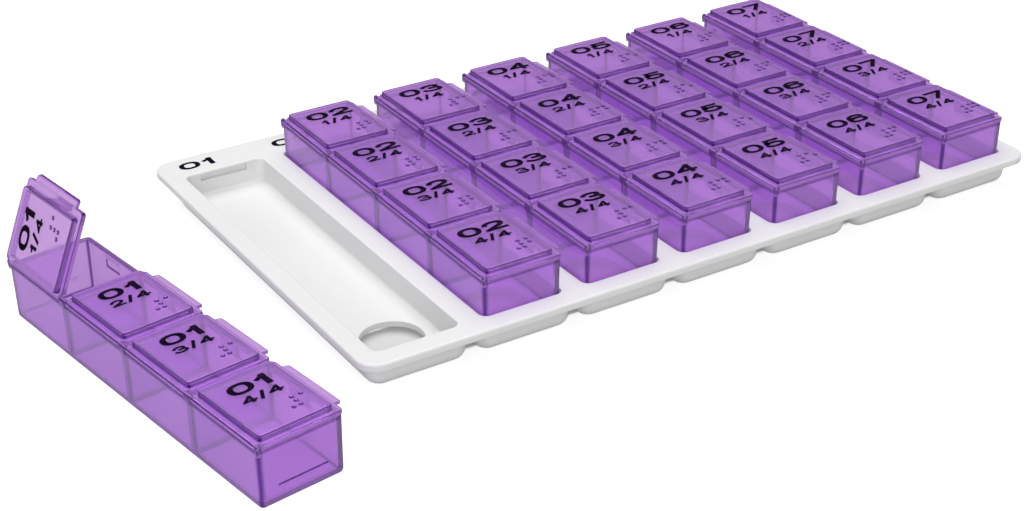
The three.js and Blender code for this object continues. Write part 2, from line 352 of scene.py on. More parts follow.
class Shader:
    """A node tree with short calls for its nodes and links."""

    # The colour sockets of a Mix node, whose names are not unique.
    MIX_ONE, MIX_OTHER, MIX_RESULT = 6, 7, 2

    def __init__(self, tree: NodeTree) -> None:
        """Works on the tree."""
        self.tree = tree

    def node(self, kind: str, inputs: dict | None = None, **settings: object) -> Node:
        """Adds a node.

        Args:
            kind: the node's type.
            inputs: values, or sockets to link, by input name or number.
            settings: the node's own settings.

        Returns:
            The node.
        """
        made = self.tree.nodes.new(kind)
        for name, value in settings.items():
            setattr(made, name, value)
        for key, value in (inputs or {}).items():
            if isinstance(value, NodeSocket):
                self.tree.links.new(value, made.inputs[key])
            else:
                made.inputs[key].default_value = value
        return made

    def group(self, tree: NodeTree, inputs: dict) -> Node:
        """Places a node group with its own values."""
        return self.node("ShaderNodeGroup", inputs, node_tree=tree)

    def math(self, operation: str, one: object, other: object) -> NodeSocket:
        """A sum, product or other step of two values."""
        return self.node("ShaderNodeMath", {0: one, 1: other}, operation=operation).outputs[0]

    def vector(self, operation: str, *inputs: object) -> NodeSocket:
        """A sum, difference or other step of vectors."""
        return self.node("ShaderNodeVectorMath", dict(enumerate(inputs)), operation=operation).outputs[0]

    def noise(self, where: object, scale: object, detail: float, roughness: float) -> NodeSocket:
        """The value of a noise pattern."""
        inputs = {"Vector": where, "Scale": scale, "Detail": detail, "Roughness": roughness}
        return self.node("ShaderNodeTexNoise", inputs).outputs["Fac"]

    def ramp(
        self, value: object, start: float = 0.0, end: float = 1.0, low: float = 0.0, high: float = 1.0
    ) -> NodeSocket:
        """A value that runs from low to high while the given one runs from start to end."""
        inputs = {"Value": value, "From Min": start, "From Max": end, "To Min": low, "To Max": high}
        return self.node("ShaderNodeMapRange", inputs).outputs[0]

    def blend(self, share: object, one: object, other: object) -> NodeSocket:
        """A mix of two colours, with the given share of the other."""
        inputs = {"Factor": share, self.MIX_ONE: one, self.MIX_OTHER: other}
        return self.node("ShaderNodeMix", inputs, data_type="RGBA").outputs[self.MIX_RESULT]

    def either(self, mask: object, one: Node, other: Node) -> Node:
        """One shader, or the other where the mask is 1."""
        return self.node("ShaderNodeMixShader", {0: mask, 1: one.outputs[0], 2: other.outputs[0]})


def new_group(name: str, inputs: dict[str, float], outputs: Sequence[str]) -> tuple[Shader, Mapping]:
    """Starts a shader node group with float sockets.

    Args:
        name: the group's name.
        inputs: the inputs and their usual values.
        outputs: the outputs.

    Returns:
        The calls for the group's nodes, and the sockets that give its inputs.
    """
    tree = bpy.data.node_groups.new(name, "ShaderNodeTree")
    for label, usual in inputs.items():
        socket = tree.interface.new_socket(label, in_out="INPUT", socket_type="NodeSocketFloat")
        socket.default_value = usual
    for label in outputs:
        tree.interface.new_socket(label, in_out="OUTPUT", socket_type="NodeSocketFloat")
    shader = Shader(tree)
    return shader, shader.node("NodeGroupInput").outputs


def moulded_surface() -> NodeTree:
    """The skin of a moulding: faint flow waves and a fine grain, as Height and Tone.

    Returns:
        The group.
    """
    usual = {"Waves": 60.0, "Grain": 2500.0, "Grain Share": 0.2}
    shader, given = new_group("moulded surface", usual, ("Height", "Tone"))
    where = shader.node("ShaderNodeTexCoord").outputs["Object"]
    waves = shader.noise(where, given["Waves"], detail=1.0, roughness=0.4)
    grain = shader.noise(where, given["Grain"], detail=2.0, roughness=0.6)
    fine = shader.math("MULTIPLY", grain, given["Grain Share"])
    shader.node("NodeGroupOutput", {"Height": shader.math("ADD", waves, fine), "Tone": waves})
    return shader.tree


def handling_marks() -> NodeTree:
    """Marks of use: soft smudges with fine scuffs across them, as a Mask from 0 to 1.

    Returns:
        The group.
    """
    usual = {"Smudges": 45.0, "Scuffs": 400.0, "Amount": 0.5}
    shader, given = new_group("handling marks", usual, ("Mask",))
    where = shader.node("ShaderNodeTexCoord").outputs["Object"]
    smudges = shader.noise(where, given["Smudges"], detail=4.0, roughness=0.55)
    drawn_out = {"Vector": where, "Scale": (1.0, 0.08, 1.0), "Rotation": (0.0, 0.0, 0.6)}
    stretched = shader.node("ShaderNodeMapping", drawn_out).outputs[0]
    scuffs = shader.noise(stretched, given["Scuffs"], detail=3.0, roughness=0.7)
    soft = shader.ramp(smudges, start=0.45, end=0.7)
    thin = shader.ramp(scuffs, start=0.62, end=0.75)
    both = shader.math("MAXIMUM", soft, thin)
    shader.node("NodeGroupOutput", {"Mask": shader.math("MULTIPLY", both, given["Amount"])})
    return shader.tree


def painted_shade_faces() -> NodeTree:
    """Where clear plastic gets painted shade, as a Mask: darker colour that stands in for the dark lines and
    darker faces which refraction gives it.

    Rounded edges are painted dark by Edges. Upright faces above the height From are painted darker by Amount,
    with Side more where they look to the left, and by Foot as a painted dark line close to that height.

    Returns:
        The group.
    """
    usual = {"From": 0.0, "Amount": 1.0, "Edges": 0.5, "Foot": 0.0, "Side": 0.0}
    shader, given = new_group("painted shade faces", usual, ("Mask",))
    where = shader.node("ShaderNodeTexCoord")
    facing = shader.node("ShaderNodeSeparateXYZ", {0: where.outputs["Normal"]})
    place = shader.node("ShaderNodeSeparateXYZ", {0: where.outputs["Object"]})
    across, along, level = (shader.math("ABSOLUTE", facing.outputs[i], 0.0) for i in range(3))
    over = shader.math("SUBTRACT", place.outputs[2], given["From"])
    steep = shader.ramp(level, start=0.3, end=0.8, low=1.0, high=0.0)
    wall = shader.math("MULTIPLY", steep, shader.ramp(over, end=0.0002))
    left = shader.math("MAXIMUM", shader.math("MULTIPLY", facing.outputs[0], -1.0), 0.0)
    hinged = shader.math("MULTIPLY", left, given["Side"])
    upright = shader.math("MULTIPLY", wall, shader.math("ADD", hinged, given["Amount"]))
    foot = shader.ramp(over, start=0.0003, end=0.0006, low=1.0, high=0.0)
    low = shader.math("MULTIPLY", shader.math("MULTIPLY", wall, foot), given["Foot"])
    most = shader.math("MAXIMUM", shader.math("MAXIMUM", across, along), level)
    edge = shader.ramp(most, start=0.96, end=0.84)
    rounding = shader.math("MULTIPLY", edge, given["Edges"])
    mask = shader.math("MAXIMUM", shader.math("MAXIMUM", upright, low), rounding)
    shader.node("NodeGroupOutput", {"Mask": mask})
    return shader.tree


@dataclass(frozen=True)
class Groups:
    """The shader node groups that the finishes share."""

    surface: NodeTree
    marks: NodeTree
    # Painted shade: the group that darkens the clear plastic's rounded edges and upright faces.
    painted_shade: NodeTree


@dataclass(frozen=True)
class Skin:
    """The patterns on a moulding's faces, and how far they change its colour, roughness and relief."""

    surface: dict[str, float]
    marks: dict[str, float]
    spread: float
    gloss: float
    marked: float
    relief: float
    relief_depth: float = 0.0005

    def faces(self, shader: Shader, groups: Groups, colour: Triple) -> dict[str, object]:
        """Adds the nodes of the patterns.

        Args:
            shader: the calls for the material's nodes.
            groups: the shared node groups.
            colour: the plastic's colour.

        Returns:
            What goes into the shader, by input name.
        """
        surface = shader.group(groups.surface, self.surface)
        marks = shader.group(groups.marks, self.marks)
        dark, pale = ([min(1.0, c * (1 + way * self.spread)) for c in colour] for way in (-1, 1))
        relief = {"Height": surface.outputs["Height"], "Strength": self.relief, "Distance": self.relief_depth}
        return {
            "Base Color": shader.blend(surface.outputs["Tone"], (*dark, 1.0), (*pale, 1.0)),
            "Roughness": shader.ramp(marks.outputs["Mask"], low=self.gloss, high=self.gloss + self.marked),
            "Normal": shader.node("ShaderNodeBump", relief).outputs[0],
        }


@dataclass(frozen=True)
class Finish:
    """What every material is made from."""

    name: str

    def parts(self, shader: Shader, groups: Groups) -> dict[str, NodeSocket]:
        """Adds the nodes of the finish.

        Args:
            shader: the calls for the material's nodes.
            groups: the shared node groups.

        Returns:
            What goes into the material's output, by input name.
        """
        raise NotImplementedError

    def material(self, groups: Groups) -> Material:
        """Makes the material.

        Args:
            groups: the shared node groups.

        Returns:
            The material.
        """
        made = bpy.data.materials.new(self.name)
        made.use_nodes = True
        made.node_tree.nodes.clear()
        shader = Shader(made.node_tree)
        shader.node("ShaderNodeOutputMaterial", self.parts(shader, groups))
        return made


@dataclass(frozen=True)
class TintedPlastic(Finish):
    """Translucent purple plastic: clear enough to see every wall behind, with a little haze in each face, and
    painted shade that darkens its rounded edges and upright faces.
    """

    # The inputs of the painted shade group.
    painted_shade: dict[str, float]
    colour: Triple = (0.775, 0.495, 0.935)
    # Painted shade: the dark purple that rounded edges, upright faces and the hinge side are blended towards.
    painted_shade_colour: Triple = (0.12, 0.025, 0.29)
    clearness: float = 0.84
    refraction: float = 1.4
    shine: Triple = (0.7, 0.4, 0.9)
    body_colour: Triple = (0.35, 0.0, 0.6)
    body_density: float = 130.0
    lamp_colour: Triple = (0.985, 0.97, 0.995)
    skin: Skin = Skin(
        surface={"Waves": 35.0, "Grain": 1800.0, "Grain Share": 0.03},
        marks={"Smudges": 55.0, "Scuffs": 500.0, "Amount": 1.0},
        spread=0.04,
        gloss=0.06,
        marked=0.08,
        relief=0.03,
    )

    def parts(self, shader: Shader, groups: Groups) -> dict[str, NodeSocket]:
        """The clear body, which lets lamp light and bounced light pass, as Finish.parts says."""
        faces = self.skin.faces(shader, groups, self.colour)
        painted_shade_mask = shader.group(groups.painted_shade, self.painted_shade).outputs["Mask"]
        # Painted shade: the base colour turns dark purple where the painted shade mask is 1.
        faces["Base Color"] = shader.blend(painted_shade_mask, faces["Base Color"], (*self.painted_shade_colour, 1.0))
        faces |= {"Transmission Weight": self.clearness, "IOR": self.refraction}
        body = shader.node("ShaderNodeBsdfPrincipled", {**faces, "Specular Tint": (*self.shine, 1.0)})
        path = shader.node("ShaderNodeLightPath")
        through = shader.node("ShaderNodeBsdfTransparent", {"Color": (*self.lamp_colour, 1.0)})
        bounced = shader.either(path.outputs["Is Diffuse Ray"], body, through)
        mixed = shader.either(path.outputs["Is Shadow Ray"], bounced, through)
        depth = {"Color": (*self.body_colour, 1.0), "Density": self.body_density}
        volume = shader.node("ShaderNodeVolumeAbsorption", depth)
        return {"Surface": mixed.outputs[0], "Volume": volume.outputs[0]}


# Painted shade. On the boxes: dark rounded edges, and a darker band on the upright faces at the top of the
# walls, just under the lids. On the lids: dark rounded edges, darker upright faces of the raised panel, more
# on the hinge side, and a dark line at the panel's foot.
BOX_PLASTIC = TintedPlastic(
    "purple box plastic", {"From": 0.0155, "Amount": 0.7, "Foot": 0.0, "Side": 0.0, "Edges": 0.85}
)
LID_PLASTIC = TintedPlastic(
    "purple lid plastic", {"From": 0.0007, "Amount": 0.5, "Foot": 0.9, "Side": 0.35, "Edges": 1.0}
)


@dataclass(frozen=True)
class WhitePlastic(Finish):
    """Opaque white moulding with a satin skin."""

    colour: Triple = (0.67, 0.67, 0.675)
    shine: float = 0.3
    skin: Skin = Skin(
        surface={"Waves": 25.0, "Grain": 3500.0, "Grain Share": 0.5},
        marks={"Smudges": 30.0, "Scuffs": 300.0, "Amount": 0.8},
        spread=0.015,
        gloss=0.38,
        marked=0.14,
        relief=0.06,
    )

    def parts(self, shader: Shader, groups: Groups) -> dict[str, NodeSocket]:
        """The white body, as Finish.parts says."""
        faces = self.skin.faces(shader, groups, self.colour)
        body = shader.node("ShaderNodeBsdfPrincipled", {**faces, "Specular IOR Level": self.shine})
        return {"Surface": body.outputs[0]}


@dataclass(frozen=True)
class PrintInk(Finish):
    """Dark printed ink, slightly worn where hands rub it."""

    colour: Triple = (0.007, 0.003, 0.012)
    worn: Triple = (0.016, 0.008, 0.026)
    gloss: float = 0.6
    worn_gloss: float = 0.75

    def parts(self, shader: Shader, groups: Groups) -> dict[str, NodeSocket]:
        """The ink, as Finish.parts says."""
        patches = {"Smudges": 400.0, "Scuffs": 1500.0, "Amount": 1.0}
        rubbed = shader.group(groups.marks, patches).outputs["Mask"]
        look = {
            "Base Color": shader.blend(rubbed, (*self.colour, 1.0), (*self.worn, 1.0)),
            "Roughness": shader.ramp(rubbed, low=self.gloss, high=self.worn_gloss),
            "Specular IOR Level": 0.0,
        }
        return {"Surface": shader.node("ShaderNodeBsdfPrincipled", look).outputs[0]}


@dataclass(frozen=True)
class PaleFloor(Finish):
    """A pale floor that the camera sees white, apart from what shows through the row of finger holes."""

    holes: Pair
    holes_half: Pair = (0.105, 0.011)
    hole_edge: float = 0.001
    colour: Triple = (0.45, 0.45, 0.45)
    roughness: float = 0.9
    shine: float = 0.1
    glow: float = 0.15
    white: float = 0.62

    def parts(self, shader: Shader, groups: Groups) -> dict[str, NodeSocket]:
        """The floor's nodes, as Finish.parts says."""
        where = shader.node("ShaderNodeTexCoord").outputs["Object"]
        away = shader.vector("ABSOLUTE", shader.vector("SUBTRACT", where, (*self.holes, 0.0)))
        past = shader.vector("SUBTRACT", away, (*self.holes_half, 0.0))
        sides = shader.node("ShaderNodeSeparateXYZ", {0: past})
        outside = shader.math("MAXIMUM", sides.outputs[0], sides.outputs[1])
        white = shader.ramp(outside, start=-self.hole_edge, end=0.0, high=self.white)
        seen = shader.math("MULTIPLY", shader.node("ShaderNodeLightPath").outputs["Is Camera Ray"], white)
        look = {
            "Base Color": (*self.colour, 1.0),
            "Roughness": self.roughness,
            "Specular IOR Level": self.shine,
            "Emission Color": (1.0, 1.0, 1.0, 1.0),
            "Emission Strength": shader.math("ADD", seen, self.glow),
        }
        return {"Surface": shader.node("ShaderNodeBsdfPrincipled", look).outputs[0]}


# Sub-assemblies


@dataclass
class Week:
    """How the days and doses are laid out, in millimetres from the tray's middle."""

    days: int = 7
    doses: int = 4
    pitch: float = 32
    dose_pitch: float = 29.7
    well_y: float = -3.15
    seat_height: float = 3.4
    loose_day: int = 1
    loose_place: Pair = (-153.0, -35.55)
    loose_turn: float = 8.6
    open_dose: int = 1
    open_angle: float = 67

    def all_days(self) -> range:
        """The numbers of the days."""
        return range(1, self.days + 1)

    def all_doses(self) -> range:
        """The numbers of the doses in a day."""
        return range(1, self.doses + 1)

    def middle(self) -> Matrix:
        """The place on the table under the tray's middle, in metres."""
        low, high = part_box("tray")
        return Matrix.Translation(((low.x + high.x) / 2, (low.y + high.y) / 2, 0))

    def day_x(self, day: int) -> float:
        """A well's middle along the week."""
        return (day - (self.days + 1) / 2) * self.pitch

    def dose_y(self, dose: int) -> float:
        """A compartment's middle from the box's middle."""
        return ((self.doses + 1) / 2 - dose) * self.dose_pitch

    def box_place(self, day: int) -> Matrix:
        """Where a day's box stands.

        Args:
            day: the day's number.

        Returns:
            The place of the middle of its sole, in metres.
        """
        if day == self.loose_day:
            x, y = self.loose_place
            turn = Matrix.Rotation(math.radians(self.loose_turn), 4, "Z")
            return self.middle() @ Matrix.Translation((x * MM, y * MM, 0)) @ turn
        seat = (self.day_x(day) * MM, self.well_y * MM, self.seat_height * MM)
        return self.middle() @ Matrix.Translation(seat)

    def lid_place(self, day: int, dose: int, hinge: Pair) -> Matrix:
        """Where a lid lies, turned as it rests.

        Args:
            day: the day's number.
            dose: the dose's number.
            hinge: the hinge axis in the box, in X and Z.

        Returns:
            The place of the middle of its hinge axis, in metres.
        """
        turn = self.open_angle if (day, dose) == (self.loose_day, self.open_dose) else 0
        where = Vector((hinge[0], self.dose_y(dose), hinge[1])) * MM
        opened = Matrix.Rotation(math.radians(-turn), 4, "Y")
        return self.box_place(day) @ Matrix.Translation(where) @ opened


@dataclass
class Tray:
    """The white tray: a plate with tubs under it, a finger hole in each well and slots for the snap ribs."""

    week: Week
    width: float = 228.6
    depth: float = 137.6
    height: float = 10.1
    plate: float = 2.2
    plate_corner: float = 6
    plate_steps: int = 10
    plate_edge: float = 0.7
    plate_under: float = 0.3
    well_width: float = 25.2
    well_length: float = 118.5
    well_corner: float = 2.3
    well_floor: float = 3.1
    well_lean: float = 0.4
    well_fillet: float = 0.7
    mouth_edge: float = 0.35
    tub_wall: float = 2.4
    tub_edge: float = 3.6
    tub_lean: float = 0.3
    foot: float = 1.6
    foot_hollow: float = 1.2
    foot_corner: float = 0.8
    foot_edge: float = 0.25
    hole_radius: float = 8.7
    hole_from_front: float = 14.1
    hole_edge: float = 0.3
    hole_sides: int = 48
    slot_half: Pair = (7.55, 1.0)
    slot_height: float = 8.4
    slot_depth: float = 0.9
    slot_edge: float = 0.2
    slot_corner: float = 0.4
    corner_steps: int = 6

    def well_rings(self, well: Area) -> Rings:
        """The rings of one well, from its mouth down to its floor.

        Args:
            well: the rim of the well.

        Returns:
            The rings.
        """
        mouth = lip(self.mouth_edge, self.height, FINE_LIP_ANGLES)
        floor = rounded(Edge.BOTTOM, self.well_lean, self.well_floor, self.well_fillet, steps=5)[::-1]
        return well.rings([*mouth, *floor], self.well_corner, self.corner_steps)

    def hole_rings(self, x: float, y: float) -> Rings:
        """The rings of one finger hole, from the well's floor down to the hollow under it.

        Args:
            x: the hole's middle.
            y: the hole's middle.

        Returns:
            The rings.
        """
        edge, low, radius = self.hole_edge, self.foot_hollow, self.hole_radius
        down = [(radius - inset, height) for inset, height in lip(edge, self.well_floor, LIP_ANGLES)]
        up = [(radius + edge - edge * math.cos(a), low + edge - edge * math.sin(a)) for a in LIP_ANGLES]
        return [circle(x, y, height, reach, self.hole_sides) for reach, height in [*down, *up]]

    def foot_rings(self, well: Area) -> Rings:
        """The rings of the hollow inside a tub's foot, from its ceiling down to the table.

        Args:
            well: the rim of the well above it.

        Returns:
            The rings.
        """
        inset = self.tub_edge + self.tub_lean + self.foot - self.tub_wall
        profile = [(inset, self.foot_hollow), (inset, self.foot_edge), (inset - self.foot_edge, 0)]
        return well.rings(profile, inset + self.foot_corner, steps=4)

    def tub_rings(self, well: Area) -> Rings:
        """The rings of a tub's outside, from its sole up to the plate.

        Args:
            well: the rim of the well in it.

        Returns:
            The rings.
        """
        wall = self.tub_wall
        outside = Area(well.left - wall, well.right + wall, well.front - wall, well.back + wall)
        sole = rounded(Edge.BOTTOM, self.tub_lean, 0, self.tub_edge, steps=8)
        return outside.rings(
            [*sole, (0, self.height - self.plate)], self.well_corner + wall, self.corner_steps
        )

    def body(self) -> MeshDraft:
        """The plate with its wells, finger holes and tubs.

        Returns:
            The draft.
        """
        draft = MeshDraft()
        under = rounded(Edge.BOTTOM, 0, self.height - self.plate, self.plate_under, steps=3)
        over = rounded(Edge.TOP, 0, self.height, self.plate_edge, steps=5)
        plate = Area.centred(self.width, self.depth)
        bottom, top = draft.skin(plate.rings([*under, *over], self.plate_corner, self.plate_steps))
        mouths, tubs = [], []
        for day in self.week.all_days():
            x, y = self.week.day_x(day), self.week.well_y
            well = Area.centred(self.well_width, self.well_length).moved(x, y)
            mouth, floor = draft.skin(self.well_rings(well))
            hole_y = y + self.hole_from_front - self.well_length / 2
            hole, exit_ring = draft.skin(self.hole_rings(x, hole_y))
            draft.fill(floor, [hole])
            hollow, rim = draft.skin(self.foot_rings(well))
            draft.fill(hollow, [exit_ring])
            sole, joint = draft.skin(self.tub_rings(well))
            draft.fill(sole, [rim])
            mouths.append(mouth)
            tubs.append(joint)
        draft.fill(top, mouths)
        draft.fill(bottom, tubs)
        return draft

    def slots(self) -> MeshDraft:
        """What is cut from the end walls of the wells for the snap ribs.

        Returns:
            The draft.
        """
        draft = MeshDraft()
        half_x, half_z = self.slot_half
        edge, low, high = self.slot_edge, self.slot_height - half_z, self.slot_height + half_z
        profile = [(edge, low), (0, low + edge), (0, high - edge), (edge, high)]
        for day in self.week.all_days():
            x = self.week.day_x(day)
            for end in (-1, 1):
                y = self.week.well_y + end * self.well_length / 2
                block = Area(x - half_x, x + half_x, y - self.slot_depth, y + self.slot_depth)
                draft.pan(block, profile, self.slot_corner, steps=3)
        return draft

    def build(self) -> Object:
        """The tray as one closed solid, in millimetres about its middle."""
        return combined(self.body().made("tray"), self.slots().made("slots"), Join.CUT)

    def holes_middle(self) -> Pair:
        """The middle of the row of finger holes, in metres.

        Returns:
            Its X and Y.
        """
        front = self.week.well_y - self.well_length / 2
        place = self.week.middle() @ Vector((0, (front + self.hole_from_front) * MM, 0))
        return place.x, place.y

    def dress(self, material: Material) -> Object:
        """Builds the tray's piece in the place of its node.

        Args:
            material: the tray's finish.

        Returns:
            The piece.
        """
        piece = placed("tray_moulding", finished(self.build(), material), self.week.middle())
        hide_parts("tray")
        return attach(piece, "tray")


@dataclass
class DayBox:
    """A day's box: four compartments, ears for the lids' pins, latch ridges and a snap rib on each end.

    The sections of the rib and the ridge are given outwards from the wall's face and upwards from their own
    level, and that of the pocket behind the ridge upwards from the box's sole.
    """

    week: Week
    width: float = 24.3
    length: float = 117.7
    height: float = 16.3
    wall: float = 1.3
    floor: float = 1.3
    partition: float = 1.2
    lean: float = 0.21
    corner: float = 1.7
    bottom_edge: float = 1.6
    rim_edge: float = 0.25
    inner_corner: float = 1.3
    inner_fillet: float = 1.2
    hinge: Pair = (-11.6, 17.25)
    bore: float = 0.5
    ear: float = 0.75
    ear_reach: float = 1.2
    ear_root: float = 2.2
    ear_heel: float = 0.8
    ear_steps: int = 6
    rib: Profile = ((-0.5, -0.4), (0.3, -0.4), (0.3, 0.1), (0, 0.4), (-0.5, 0.4))
    rib_half: float = 6.95
    rib_height: float = 5.3
    rib_lean: float = 0.68
    ridge: Profile = ((0.6, -0.5), (0.6, 0.5), (-0.2, 0.2), (-0.2, -0.2))
    ridge_half: float = 3.6
    ridge_drop: float = 1.5
    pocket: Profile = ((-0.3, 11.6), (0.1, 11.6), (0.45, 12.1), (0.45, 14.1), (-0.3, 14.1))
    steps: int = 6

    def cavity(self, dose: int) -> Area:
        """The rim of one compartment's hollow.

        Args:
            dose: the dose's number.

        Returns:
            The rim.
        """
        half = (self.week.dose_pitch - self.partition) / 2
        middle = self.week.dose_y(dose)
        end = self.length / 2 - self.wall
        side = self.width / 2 - self.wall
        back = end if dose == 1 else middle + half
        front = -end if dose == self.week.doses else middle - half
        return Area(-side, side, front, back)

    def shell(self) -> MeshDraft:
        """The box with its hollows, without what stands on its walls.

        Returns:
            The draft.
        """
        draft = MeshDraft()
        outside = Area.centred(self.width, self.length)
        low = rounded(Edge.BOTTOM, self.lean, 0, self.bottom_edge, steps=7)
        high = rounded(Edge.TOP, 0, self.height, self.rim_edge, steps=3)
        sole, rim = draft.skin(outside.rings([*low, *high], self.corner, self.steps))
        draft.fill(sole)
        mouth_edge = lip(self.rim_edge, self.height, LIP_ANGLES)
        base = rounded(Edge.BOTTOM, self.lean, self.floor, self.inner_fillet, steps=5)[::-1]
        mouths = []
        for dose in self.week.all_doses():
            rings = self.cavity(dose).rings([*mouth_edge, *base], self.inner_corner, self.steps)
            mouth, floor = draft.skin(rings)
            draft.fill(floor)
            mouths.append(mouth)
        draft.fill(rim, mouths)
        return draft

    def fittings(self) -> MeshDraft:
        """The ears, latch ridges and snap ribs that are moulded on the shell.

        Returns:
            The draft.
        """
        draft = MeshDraft()
        x, z = self.hinge
        outer = x + self.width / 2
        angles = [i * QUARTER / self.ear_steps for i in range(2 * self.ear_steps + 1)]
        arc = [(self.ear * math.cos(a), self.ear * math.sin(a)) for a in angles]
        foot = [(-outer + SINK, -self.ear_root), (self.ear, -self.ear_root)]
        section = [*foot, *arc, (-self.ear, -self.ear * self.ear_heel)]
        for gap in range(self.week.doses + 1):
            middle = (self.week.doses / 2 - gap) * self.week.dose_pitch
            front = max(middle - self.ear_reach, -self.length / 2 + SINK)
            back = min(middle + self.ear_reach, self.length / 2 - SINK)
            draft.bar([(x + a, z + b) for a, b in section], front, back)
        for dose in self.week.all_doses():
            y = self.week.dose_y(dose)
            face = self.width / 2 - self.wall - SINK
            level = self.height - self.ridge_drop
            ridge = [(face + a, level + b) for a, b in self.ridge]
            draft.bar(ridge, y - self.ridge_half, y + self.ridge_half)
        for end in (-1, 1):
            face = end * (self.length / 2 - self.lean * self.rib_lean)
            rib = [(face + end * a, self.rib_height + b) for a, b in self.rib]
            draft.solid([[(side, y, h) for y, h in rib] for side in (-self.rib_half, self.rib_half)])
        return draft

    def bores(self) -> MeshDraft:
        """What is cut from the box for the lids' pins and behind the latch ridges.

        Returns:
            The draft.
        """
        draft = MeshDraft()
        x, z = self.hinge
        half = self.week.doses / 2 * self.week.dose_pitch + OVERRUN
        draft.bar([(x + a, z + b) for a, b in disc(self.bore, PIN_SIDES)], -half, half)
        face = self.width / 2 - self.wall
        pocket = [(face + a, height) for a, height in self.pocket]
        for dose in self.week.all_doses():
            y = self.week.dose_y(dose)
            draft.bar(pocket, y - self.ridge_half, y + self.ridge_half)
        return draft

    def build(self) -> Object:
        """The box as one closed solid, in millimetres about the middle of its sole."""
        box = combined(self.shell().made("day_box"), self.fittings().made("fittings"), Join.ADD)
        return combined(box, self.bores().made("bores"), Join.CUT)

    def dress(self, material: Material) -> list[Object]:
        """Builds each day's box in the place of its node.

        Args:
            material: the boxes' finish.

        Returns:
            The pieces.
        """
        mesh = finished(self.build(), material)
        pieces = []
        for day in self.week.all_days():
            piece = placed(f"day_box_{day}", mesh, self.week.box_place(day))
            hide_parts(f"box_{day}")
            pieces.append(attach(piece, f"box_{day}"))
        return pieces


# The dots of a number sign and of each figure. They are numbered down a cell's left column, then its right.
NUMBER_SIGN = "3456"
CELLS = {1: "1", 2: "12", 3: "14", 4: "145", 5: "15", 6: "124", 7: "1245"}


@dataclass(frozen=True)
class TactileNumber:
    """A number in low raised dots: a number sign and a figure."""

    spacing: float = 4.5
    pitch: float = 1.9
    rows: int = 3
    radius: float = 0.65
    rise: float = 0.45
    sunk: float = 0.15
    sides: int = 12
    angles: Sequence[float] = (0, 0.4, 0.8, 1.2)

    def add(self, draft: MeshDraft, digit: int, middle: Triple) -> None:
        """Adds the dots, whose feet go a little into the face that they stand on.

        Args:
            draft: the mesh in the making.
            digit: the number, from 1 to 7.
            middle: the middle of the two cells, on that face.
        """
        levels = [(-self.sunk, self.radius)]
        levels += [(self.rise * math.sin(a), self.radius * math.cos(a)) for a in self.angles]
        for side, cell in ((-1, NUMBER_SIGN), (1, CELLS[digit])):
            for dot in map(int, cell):
                column = -self.pitch / 2 if dot <= self.rows else self.pitch / 2
                x = middle[0] + (side * self.spacing / 2 + column)
                y = middle[1] + (1 - (dot - 1) % self.rows) * self.pitch
                draft.solid([circle(x, y, middle[2] + up, reach, self.sides) for up, reach in levels])


